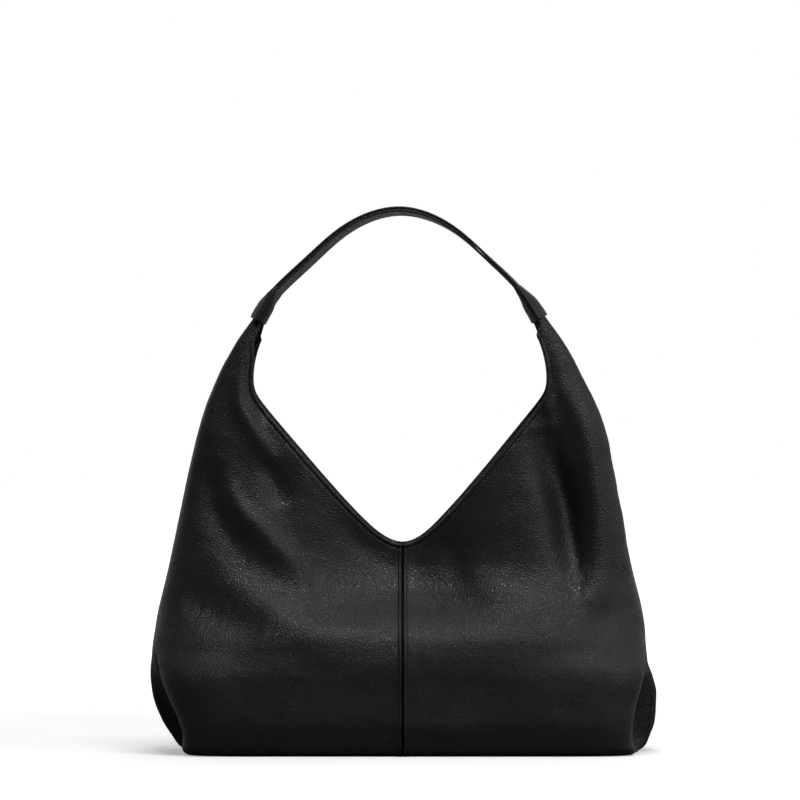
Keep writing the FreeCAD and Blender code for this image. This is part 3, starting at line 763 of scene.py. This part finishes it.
def leather(name, pebble=2.2, depth=0.30, dark=0.0030, light=0.0085, rough=0.27, stretch=0.5):
    """Black milled leather: pebbles with painted shade darkening the creases between them, and low satin
    highlights.
    """
    n = Nodes(name)
    place = n.add("TexCoord").outputs["Object"]
    parts = n.add("SeparateXYZ", {0: place})
    below = n.maths("MAXIMUM", n.maths("SUBTRACT", 0.13, parts.outputs["Z"]), 0.0)
    tall = n.maths("SUBTRACT", parts.outputs["Z"], n.maths("MULTIPLY", below, stretch))
    warped = n.add("CombineXYZ", {0: parts.outputs["X"], 1: parts.outputs["Y"], 2: tall}).outputs[0]
    drift = n.add("TexNoise", {"Vector": warped, "Scale": 130.0, "Detail": 2.0}).outputs["Color"]
    centred = n.add("VectorMath", {0: drift, 1: (0.5, 0.5, 0.5)}, operation="SUBTRACT").outputs[0]
    drift = n.add("VectorMath", {0: centred, "Scale": 0.0022}, operation="SCALE").outputs[0]
    moved = n.add("VectorMath", {0: warped, 1: drift}, operation="ADD").outputs[0]
    cells = n.add("TexVoronoi", {"Vector": moved, "Scale": 1000.0 / pebble, "Randomness": 1.0},
                  feature="DISTANCE_TO_EDGE").outputs["Distance"]
    dome = n.ramp(cells, [(0.0, 0.0), (0.08, 0.10), (0.25, 0.62), (0.55, 1.0)])
    small = n.add("TexVoronoi", {"Vector": moved, "Scale": 2400.0 / pebble}, feature="F1")
    small = small.outputs["Distance"]
    pores = n.add("TexNoise", {"Vector": warped, "Scale": 2600.0, "Detail": 3.0}).outputs["Fac"]
    patches = n.add("TexNoise", {"Vector": warped, "Scale": 26.0, "Detail": 3.0, "Roughness": 0.6})
    patches = patches.outputs["Fac"]
    height = n.maths("ADD", dome, n.maths("MULTIPLY", pores, 0.06))
    height = n.maths("SUBTRACT", height, n.maths("MULTIPLY", small, 0.06))
    bump = n.add("Bump", {"Height": height, "Strength": 0.9, "Distance": depth * MM}).outputs[0]
    # Base colour from dark to light: painted shade, darkest in the creases between pebbles and lightest on
    # their tops; the patches vary it at random as the leather's own tone.
    painted_crease_shade = n.ramp(n.maths("MULTIPLY", dome, n.maths("ADD", 0.6, n.maths("MULTIPLY", patches, 0.6))),
                     [(0.0, (dark * 0.45, dark * 0.45, dark * 0.46)), (0.45, (dark, dark, dark * 1.02)),
                      (1.0, (light, light * 0.985, light * 0.975))])
    rubbed = n.maths("MULTIPLY", dome, n.maths("ADD", 0.75, n.maths("MULTIPLY", patches, 0.5)))
    gloss = n.add("MapRange", {"Value": rubbed, "To Min": 0.62, "To Max": rough}).outputs[0]
    n.shade(Base_Color=painted_crease_shade, Roughness=gloss, Normal=bump)
    n.shader.inputs["Specular IOR Level"].default_value = 0.5
    return n.material


def woven(name, thread_size, dark, light, rough=0.8, sheen=0.0):
    """A plain weave: crossing threads that take turns on top, with soft variation in colour."""
    n = Nodes(name)
    place = n.add("TexCoord").outputs["Object"]
    parts = n.add("SeparateXYZ", {0: place})
    pitch = 2 * math.pi / (thread_size * MM)
    across = n.maths("SINE", n.maths("MULTIPLY", parts.outputs["X"], pitch))
    level = n.maths("ADD", parts.outputs["Z"], n.maths("MULTIPLY", parts.outputs["Y"], 0.7))
    upward = n.maths("SINE", n.maths("MULTIPLY", level, pitch))
    weave = n.maths("MULTIPLY", across, upward)
    slub = n.add("TexNoise", {"Vector": place, "Scale": 900.0, "Detail": 2.0}).outputs["Fac"]
    height = n.maths("ADD", weave, n.maths("MULTIPLY", slub, 0.8))
    bump = n.add("Bump", {"Height": height, "Strength": 0.5, "Distance": 0.08 * MM}).outputs[0]
    shade = n.maths("ADD", n.maths("MULTIPLY", weave, 0.18), slub)
    n.shade(Base_Color=n.ramp(shade, [(0.25, dark), (0.8, light)]), Roughness=rough, Normal=bump)
    n.shader.inputs["Sheen Weight"].default_value = sheen
    return n.material


def metal(name, colour, rough):
    """Plated metal with fine brushing and small worn patches."""
    n = Nodes(name)
    place = n.add("TexCoord").outputs["Object"]
    drawn = n.add("Mapping", {"Vector": place, "Scale": (300, 300, 6000)}).outputs[0]
    brush = n.add("TexNoise", {"Vector": drawn, "Scale": 1.0, "Detail": 2.0}).outputs["Fac"]
    worn = n.add("TexNoise", {"Vector": place, "Scale": 420.0, "Detail": 4.0}).outputs["Fac"]
    low = tuple(0.72 * c for c in colour)
    gloss = n.add("MapRange", {"Value": worn, "To Min": rough * 0.7, "To Max": rough * 1.5}).outputs[0]
    bump = n.add("Bump", {"Height": brush, "Strength": 0.15, "Distance": 0.02 * MM}).outputs[0]
    n.shade(Base_Color=n.ramp(worn, [(0.35, low), (0.6, colour)]), Roughness=gloss, Normal=bump)
    n.shader.inputs["Metallic"].default_value = 1.0
    return n.material


def board(name):
    """Grey-brown fibre board."""
    n = Nodes(name)
    place = n.add("TexCoord").outputs["Object"]
    fibre = n.add("TexNoise", {"Vector": place, "Scale": 700.0, "Detail": 5.0, "Roughness": 0.7})
    fibre = fibre.outputs["Fac"]
    bump = n.add("Bump", {"Height": fibre, "Strength": 0.4, "Distance": 0.1 * MM}).outputs[0]
    colour = n.ramp(fibre, [(0.35, (0.16, 0.12, 0.08)), (0.65, (0.27, 0.21, 0.15))])
    n.shade(Base_Color=colour, Roughness=0.85, Normal=bump)
    return n.material


# ---------------------------------------------------------------- inside pieces
def clear_of_tuck(side):
    """How far out the lining reaches at each height: a loose lining doesn't follow the leather's tuck."""
    face = panels[side, -1].plain
    points = []
    for z in range(4, 81, 4):
        near = (np.abs(face[..., 2] - z) < 3) & (np.abs(face[..., 1]) < 34)
        points.append((z, np.abs(face[..., 0])[near].min() - 6.0))
    return curve(points + [(114, 215), (345, 215)])


def straight_across(sheet, side, facing):
    """Takes each row of a lining straight from the tuck's bottom to the side line."""
    reach = clear_of_tuck(side)(sheet[-1, :, 2])
    for row in range(sheet.shape[1]):
        beyond = np.flatnonzero(np.abs(sheet[:, row, 0]) >= reach[row])
        if len(beyond) and beyond[0] > 0:
            first = beyond[0]
            start = sheet[first - 1, row, :2]
            end = np.array([side * reach[row], facing * LINING_GAP])
            share = np.linspace(0, 1, len(sheet) - first + 1)[1:, None]
            sheet[first:, row, :2] = start + (end - start) * share
    return sheet


def lay(name, facing, reach, bottom, top, faces, material, rows, wave=0.0, bridge=False):
    """A sheet along the inside of the front or the back, between two depths below the leather's face."""
    near, far = [], []
    for side in (-1, 1):
        points, normals = panels[side, facing].at(reach, bottom, top, rows)
        loose = (ripple(points, (30, 30, 24), 21) * 0.5 + 0.5) * wave
        sheets = []
        for depth in faces:
            sheet = points - normals * (depth + loose)[..., None]
            sheet[..., 1] = facing * np.maximum(facing * sheet[..., 1], LINING_GAP)
            if bridge:
                sheet = straight_across(sheet, side, facing)
            sheets.append(sheet[::-1] if side < 0 else sheet[1:])
        near.append(sheets[0])
        far.append(sheets[1])
    return slab(name, np.concatenate(near), np.concatenate(far), material)


def rounded_area(cut, corner):
    """The area of a flat rectangle with sides in metres and round corners in millimetres."""
    return cut[0] * cut[1] - (4 - math.pi) * (corner * MM) ** 2


POCKET_TILT = math.radians(33.0)
POCKET_HALF = 90.0
POCKET_LOW, POCKET_HIGH = -42.0, 33.0
ZIP_U = 18.0
POCKET_CORNER = 9.0
# Outlines around the zip's line: half width, half height and corner radius.
ZIP_SLOT = (78.0, 6.0, 4.0)
WELT = (86.0, 14.0, 7.0)
WELT_STITCHES = (83.0, 11.0, 6.0)
ZIP_TAPE_HALF = 82.0
ZIP_TAPE_NEAR, ZIP_TAPE_FAR = 1.0, 12.0      # from the zip's line
SLIP_HALF = 75.0
SLIP_LOW, SLIP_TOP = POCKET_LOW + 4, 15.0
SLIP_CORNER = 7.0
BINDING_LOW, BINDING_HIGH = 15.1, 20.0


def pocket_origin(node):
    """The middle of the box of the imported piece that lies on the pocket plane."""
    low, high = (np.array(c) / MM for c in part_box(node))
    return (low + high) / 2


class PocketPlane:
    """A flat frame in the bag: x across, u up the wall, d out of the wall towards the inside."""

    def __init__(self, node, facing, middle_u, middle_d):
        self.facing = facing
        self.up = np.array([0, -facing * math.sin(POCKET_TILT), math.cos(POCKET_TILT)])
        self.out = np.array([0, -facing * math.cos(POCKET_TILT), -math.sin(POCKET_TILT)])
        self.origin = pocket_origin(node) - self.up * middle_u - self.out * middle_d
        self.origin[0] = 0.0

    def place(self, x, u, d):
        x, u, d = np.broadcast_arrays(np.asarray(x, float), np.asarray(u, float), np.asarray(d, float))
        point = self.origin + self.up * u[..., None] + self.out * d[..., None]
        point[..., 0] += x
        return point


def rounded_outline(half_width, low, high, radius, count):
    """A rectangle with rounded corners as x, u points, all the way round."""
    corners = []
    reach = half_width - radius
    for cx, cu, start in ((reach, high - radius, 0), (-reach, high - radius, 90), (-reach, low + radius, 180),
                          (reach, low + radius, 270)):
        for angle in np.radians(np.linspace(start, start + 90, 9)):
            corners.append((cx + radius * math.cos(angle), cu + radius * math.sin(angle)))
    corners.append(corners[0])
    return resample(np.array(corners), count + 1)[:-1]


def around_zip(size, count):
    half_width, rise, corner = size
    return rounded_outline(half_width, ZIP_U - rise, ZIP_U + rise, corner, count)


def pocket_sheet(name, plane, outer, inner, depths, material, bulge=0.0, rings=14):
    """A sheet in a pocket plane between two outlines; a tiny inner outline leaves no hole."""
    share = np.linspace(0, 1, rings)[:, None, None]
    flat = outer[None] * (1 - share) + inner[None] * share
    x, u = flat[..., 0], flat[..., 1]
    low, high = outer[:, 1].min(), outer[:, 1].max()
    rise = np.clip((u - low) / (high - low), 0, 1)
    swell = bulge * np.sin(math.pi * np.clip(rise / 0.62, 0, 1))
    swell = swell * (1 - (np.abs(x) / POCKET_HALF) ** 4).clip(0)
    flat3 = plane.place(x, u, 0)
    swell = swell * (0.7 + 0.6 * ripple(flat3, (28, 28, 20), 31))
    swell = swell + 0.12 * ripple(flat3, (9, 9, 9), 32) * (bulge > 0)
    near, far = (plane.place(x, u, d + swell) for d in depths)
    around = len(outer)
    count = rings * around
    faces = []
    for shift in (0, count):
        faces += ring_faces(rings, around, shift)
    closed = np.ptp(inner[:, 0]) < 1.0
    ends = (0,) if closed else (0, (rings - 1) * around)
    for first in ends:
        faces += ring_faces(2, around, first, count)
    if closed:
        for shift in (0, count):
            faces.append(tuple(range(shift + (rings - 1) * around, shift + rings * around)))
    points = np.concatenate([near.reshape(-1, 3), far.reshape(-1, 3)])
    return add_mesh(name, points, faces, material)


def pocket_strip(name, plane, half_width, low, high, depths, material, wave=0.0):
    """A flat band in a pocket plane, with a slight ripple."""
    x, u = np.meshgrid(np.linspace(-half_width, half_width, 120), np.linspace(low, high, 8), indexing="ij")
    ripples = wave * ripple(plane.place(x, u, 0), (12, 12, 12), 41)
    near, far = (plane.place(x, u, d + ripples) for d in depths)
    return slab(name, near, far, material)


def base_sheet(name, height, inset, thickness, material, wave=0.0):
    """A plate on the bag's floor that fits inside the panels at its own height."""
    outline = []
    for side, facing in ((-1, -1), (1, -1), (1, 1), (-1, 1)):
        shares = column_shares()[::2]
        line = body(side, facing, shares, np.full(len(shares), height))[:, :2]
        outline.append(line[::-1] if side * facing > 0 else line)
    outline = resample(np.concatenate(outline + [outline[0][:1]]), 241)[:-1]
    centre = np.array([outline[:, 0].mean(), 0.0])
    reach = np.linalg.norm(outline - centre, axis=1, keepdims=True)
    outline = centre + (outline - centre) * (1 - inset / reach)
    share = np.linspace(0, 1, 16)[:, None, None]
    flat = centre + (outline - centre)[None] * (1 - share) + np.array([0.3, 0.3]) * share * (share > 0.99)
    flat = np.concatenate([flat[:-1], (centre + (outline - centre) * 0.02)[None]])
    x, y = flat[..., 0], flat[..., 1]
    sheet = np.stack([x, y, np.full_like(x, height)], -1)
    sheet[..., 2] += wave * (0.5 + 0.5 * ripple(sheet, (38, 38, 38), 51))
    top = sheet + np.array([0, 0, thickness])
    rings, around = x.shape
    count = rings * around
    faces = []
    for shift in (0, count):
        faces += ring_faces(rings, around, shift)
        faces.append(tuple(range(shift + (rings - 1) * around, shift + count)))
    faces += ring_faces(2, around, 0, count)
    return add_mesh(name, np.concatenate([sheet.reshape(-1, 3), top.reshape(-1, 3)]), faces, material)


# ---------------------------------------------------------------- building
route = Route()
black_leather = leather("pebbled_leather")
strap_leather = leather("strap_leather", pebble=1.7, depth=0.15, stretch=0.0)
facing_leather = leather("facing_leather", pebble=1.6, depth=0.12, rough=0.42, stretch=0.0)
thread = woven("black_thread", 0.4, (0.006, 0.006, 0.006), (0.016, 0.016, 0.016), 0.62)
lining_cloth = woven("lining_twill", 0.8, (0.018, 0.018, 0.020), (0.036, 0.036, 0.040), 0.82, 0.15)
tape_cloth = woven("woven_tape", 1.0, (0.012, 0.012, 0.013), (0.028, 0.028, 0.030), 0.75)

panels = {(side, facing): Panel(side, facing) for side in (-1, 1) for facing in (-1, 1)}
for front_side in (-1, 1):
    match_edges(panels[front_side, -1], panels[front_side, 1], -1)
for seam_facing in (-1, 1):
    match_edges(panels[-1, seam_facing], panels[1, seam_facing], 0)
SIDE_WORD = {-1: "left", 1: "right"}
FACING_WORD = {-1: "front", 1: "back"}


def across_fold(piece):
    """Bakes the placement of a panel or a sleeve into its mesh."""
    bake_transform(piece)


for (side, facing), panel in panels.items():
    name = f"{FACING_WORD[facing]}_{SIDE_WORD[side]}"
    piece = build_panel(f"{name}_leather", panel, black_leather)
    across_fold(piece)
    stands_for = [f"{name}_panel"] + ([f"{SIDE_WORD[side]}_horn_tongue"] if facing < 0 else [])
    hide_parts(*stands_for)

stitched_column = SEAM_STEPS.index(STITCH_OFFSET)
for facing, word in FACING_WORD.items():
    rows = []
    for side in (-1, 1):
        panel = panels[side, facing]
        line = panel.points[stitched_column, 5:-5] + panel.normals[stitched_column, 5:-5] * 0.10
        rows.append((line, panel.normals[stitched_column, 5:-5]))
    piece = stitches(f"{word}_seam_stitches", rows, thread)
    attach(piece, "bag")

for side in (-1, 1):
    piece = build_sleeve(side, strap_leather)
    across_fold(piece)
outer_ply, inner_ply, strap_thread = build_strap(strap_leather, thread)
for piece in (outer_ply, inner_ply, strap_thread):
    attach(piece, "strap")
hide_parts("strap_outer_ply")
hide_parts("strap_inner_ply", "strap_core")

for facing, word in FACING_WORD.items():
    reach = max(s for s, t in zip(panels[1, facing].shares, panels[1, facing].heights[:, -1]) if t < 282)
    piece = lay(f"{word}_facing_leather", facing, reach,
                lambda top: top - FACING_WIDTH, lambda top: top - 1.2,
                FACING_FACES, facing_leather, 14)
    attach(piece, "bag")
    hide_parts(f"{word}_neck_facing")
    lining = lay(f"{word}_lining_cloth", facing, 1.0, lambda top: 5.2,
                 lambda top: min(top - FACING_WIDTH - 1.5, LINING_TOP),
                 LINING_FACES, lining_cloth, 60, 0.8, True)
    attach(lining, "bag")
    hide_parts(f"{word}_lining")
    tape = lay(f"{word}_tape_cloth", facing, 6.2 / 205, lambda top: 6.5, lambda top: top - FACING_WIDTH - 6,
               (2.1, 2.5), tape_cloth, 40)
    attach(tape, "bag")
    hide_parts(f"{word}_seam_tape")

base = base_sheet("base_leather", 0.05, 0.6, 1.5, black_leather)
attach(base, "bag")
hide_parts("base_panel")
floor_lining = base_sheet("base_lining_cloth", 4.0, 7.0, 0.5, lining_cloth, 0.7)
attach(floor_lining, "bag")
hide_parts("base_lining")

rear = PocketPlane("zip_pocket_rear_ply", 1, (POCKET_LOW + POCKET_HIGH) / 2, 0.3)
front = PocketPlane("slip_pocket", -1, (SLIP_LOW + SLIP_TOP) / 2, 0.55)
whole = rounded_outline(POCKET_HALF, POCKET_LOW, POCKET_HIGH, POCKET_CORNER, 200)
slot_hole = around_zip(ZIP_SLOT, 200)
middle = rounded_outline(0.4, -0.4, 0.4, 0.3, 200)
welt_edge = around_zip(WELT, 200)
slip_edge = rounded_outline(SLIP_HALF, SLIP_LOW, SLIP_TOP, SLIP_CORNER, 200)
slip_middle = middle + np.array([0, -10])
zip_pocket_area = rounded_area(ZIP_POCKET_CUT, POCKET_CORNER)
cloth_pieces = [
    ("zip_pocket_rear_cloth", "zip_pocket_rear_ply", rear, whole, middle, (0, 0.5), ZIP_POCKET_CUT,
     zip_pocket_area, 0.0),
    ("zip_pocket_front_cloth", "zip_pocket_front_ply", rear, whole, slot_hole, (2.9, 3.4), ZIP_POCKET_CUT,
     zip_pocket_area - rounded_area(ZIP_SLOT_CUT, ZIP_SLOT[2]), 1.6),
    ("slip_pocket_cloth", "slip_pocket", front, slip_edge, slip_middle, (0.2, 0.8), SLIP_POCKET_CUT,
     rounded_area(SLIP_POCKET_CUT, SLIP_CORNER), 1.2),
]
for name, node, plane, edge, inner, depths, cut, cut_area, bulge in cloth_pieces:
    piece = pocket_sheet(name, plane, edge, inner, depths, lining_cloth, bulge)
    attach(piece, "bag")
    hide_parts(node)
welt = pocket_sheet("zip_welt_leather", rear, welt_edge, slot_hole, (3.6, 4.6), facing_leather,
                    rings=6)
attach(welt, "bag")
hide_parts("zip_welt")
welt_row = around_zip(WELT_STITCHES, 400)
welt_row = np.concatenate([welt_row, welt_row[:1]])
welt_line = rear.place(welt_row[:, 0], welt_row[:, 1], 4.62)
welt_normals = np.repeat(rear.out[None], len(welt_line), 0)
piece = stitches("zip_welt_stitches", [(welt_line, welt_normals)], thread)
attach(piece, "bag")
for word, low, high in (("upper", ZIP_U + ZIP_TAPE_NEAR, ZIP_U + ZIP_TAPE_FAR),
                        ("lower", ZIP_U - ZIP_TAPE_FAR, ZIP_U - ZIP_TAPE_NEAR)):
    tape = pocket_strip(f"zip_{word}_tape_cloth", rear, ZIP_TAPE_HALF, low, high, (2.2, 2.65), tape_cloth,
                        0.04)
    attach(tape, "bag")
    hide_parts(f"zip_{word}_tape")
binding = pocket_strip("slip_binding_leather", front, SLIP_HALF, BINDING_LOW, BINDING_HIGH, (0, 1.4),
                       facing_leather, 0.15)
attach(binding, "bag")
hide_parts("slip_pocket_binding")
binding_row = np.stack([np.linspace(-73, 73, 100), np.full(100, 16.6)], -1)
binding_line = front.place(binding_row[:, 0], binding_row[:, 1], 1.45)
binding_normals = np.repeat(front.out[None], len(binding_line), 0)
piece = stitches("slip_binding_stitches", [(binding_line, binding_normals)], thread)
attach(piece, "bag")

tab_low, tab_high = (np.array(c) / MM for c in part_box("zip_pull_tab"))
tab_outline = rounded_outline((tab_high[0] - tab_low[0]) / 2, tab_low[2], tab_high[2], 2.2, 80)
tab_middle = (tab_low + tab_high) / 2
tab_rings = []
TAB_EDGE = ((-1.5, 0.55), (-1.42, 0.2), (-1.1, 0.0), (0, 0.0), (1.1, 0.0), (1.42, 0.2), (1.5, 0.55))
for depth, shrink in TAB_EDGE:
    around = tab_outline - np.array([0, tab_middle[2]])
    around = around * (1 - shrink / np.linalg.norm(around, axis=1, keepdims=True))
    ring = np.stack([around[:, 0], np.full(len(around), depth), around[:, 1]], -1)
    tab_rings.append(ring + tab_middle)
tab = tube("pull_tab_leather", np.array(tab_rings), strap_leather)
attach(tab, "pull")
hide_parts("zip_pull_tab")

gunmetal = metal("gunmetal", (0.30, 0.29, 0.28), 0.28)
nickel = metal("nickel", (0.55, 0.54, 0.52), 0.22)
magnet = metal("magnet_plate", (0.42, 0.42, 0.43), 0.35)
CAD_FINISH = {
    gunmetal: ["snap_socket", "snap_stud", "zip_slider", "zip_pull"],
    nickel: ["zip_upper_teeth", "zip_lower_teeth", "zip_end_stops",
             "snap_socket_washer", "snap_stud_washer"],
    magnet: ["snap_magnet"],
    board("fibre_board"): ["base_board"],
}
for material, nodes in CAD_FINISH.items():
    for node in nodes:
        for cad_slot in bpy.data.objects[node].material_slots:
            cad_slot.material = material

# ---------------------------------------------------------------- stage, lights and camera
VIEW_WIDTH = 0.6424         # metres across the picture at the bag
CAMERA_DISTANCE = 4.0
CAMERA_HEIGHT = 0.2824
SENSOR = 36.0
ROOM, BACKDROP = 0.02, 0.6  # brightness of what the leather reflects, in front of the bag and behind it
FLOOR_LIFT = 0.36           # how far the floor is lifted to white at the bag


def add_camera():
    data = bpy.data.cameras.new("camera")
    data.sensor_width = SENSOR
    data.lens = SENSOR * CAMERA_DISTANCE / VIEW_WIDTH
    data.clip_end = 100
    camera = bpy.data.objects.new("camera", data)
    camera.location = (0, -CAMERA_DISTANCE, CAMERA_HEIGHT)
    camera.rotation_euler = (math.pi / 2, 0, 0)
    bpy.context.scene.collection.objects.link(camera)
    bpy.context.scene.camera = camera


def add_area(name, place, aim, size, power):
    data = bpy.data.lights.new(name, "AREA")
    data.shape = "RECTANGLE"
    data.size, data.size_y = size
    data.energy = power
    light = bpy.data.objects.new(name, data)
    light.location = place
    light.rotation_euler = (Vector(aim) - Vector(place)).to_track_quat("-Z", "Y").to_euler()
    bpy.context.scene.collection.objects.link(light)


def add_world():
    """White to the camera. To the leather a dim room, with a lighter backdrop behind the bag."""
    world = bpy.data.worlds.new("studio")
    world.use_nodes = True
    tree = world.node_tree
    background = tree.nodes["Background"]
    seen = tree.nodes.new("ShaderNodeLightPath")
    mix = tree.nodes.new("ShaderNodeMix")
    mix.data_type = "RGBA"
    mix.inputs["B"].default_value = (1, 1, 1, 1)
    way = tree.nodes.new("ShaderNodeTexCoord")
    parts = tree.nodes.new("ShaderNodeSeparateXYZ")
    glow = tree.nodes.new("ShaderNodeMapRange")
    glow.interpolation_type = "SMOOTHSTEP"
    for key, value in (("From Min", 0.0), ("From Max", 0.7), ("To Min", ROOM), ("To Max", BACKDROP)):
        glow.inputs[key].default_value = value
    tree.links.new(way.outputs["Generated"], parts.inputs[0])
    tree.links.new(parts.outputs["Y"], glow.inputs["Value"])
    tree.links.new(glow.outputs["Result"], mix.inputs["A"])
    tree.links.new(seen.outputs["Is Camera Ray"], mix.inputs["Factor"])
    tree.links.new(mix.outputs["Result"], background.inputs["Color"])
    bpy.context.scene.world = world


def add_floor():
    """A floor that the camera sees as white away from the bag. In front it bounces less light."""
    n = Nodes("studio_floor")
    place = n.add("TexCoord").outputs["Object"]
    away = n.add("VectorMath", {0: place}, operation="LENGTH").outputs["Value"]
    span = {"Value": away, "From Min": 0.35, "From Max": 1.6, "To Min": FLOOR_LIFT, "To Max": 1.0}
    lift = n.add("MapRange", span, interpolation_type="SMOOTHSTEP").outputs[0]
    seen = n.add("LightPath").outputs["Is Camera Ray"]
    behind = n.add("SeparateXYZ", {0: place}).outputs["Y"]
    span = {"Value": behind, "From Min": 0.1, "From Max": 0.9, "To Min": 0.2, "To Max": 0.8}
    paint = n.add("MapRange", span, interpolation_type="SMOOTHSTEP").outputs[0]
    paint = n.maths("MAXIMUM", paint, n.maths("MULTIPLY", seen, 0.8))
    n.shade(Base_Color=paint, Roughness=0.7, Emission_Color=(1, 1, 1, 1),
            Emission_Strength=n.maths("MULTIPLY", lift, seen))
    n.shader.inputs["Specular IOR Level"].default_value = 0.0
    half = 12000
    corners = [(-half, -half, 0), (half, -half, 0), (half, half, 0), (-half, half, 0)]
    floor = add_mesh("studio_floor", corners, [(0, 1, 2, 3)], n.material, closed=False)


LIGHTS = {   # place and aim in metres, size in metres, power in watts
    "top_key": ((0.15, -0.85, 2.05), (0, 0, 0.14), (1.1, 0.35), 27),
    "right_key": ((1.45, -1.25, 1.15), (0.1, 0, 0.2), (0.4, 0.6), 9),
    "right_side": ((2.0, 0.1, 0.9), (0, 0, 0.2), (0.8, 0.9), 4.8),
    "left_side": ((-2.0, -0.3, 0.9), (0, 0, 0.2), (0.6, 0.9), 1.7),
    "back_top": ((0.0, 1.4, 2.2), (0, 0, 0.2), (1.6, 0.8), 7),
}
add_camera()
add_world()
add_floor()
for light_name, light_values in LIGHTS.items():
    add_area(light_name, *light_values)
bpy.context.scene.view_settings.view_transform = "Standard"
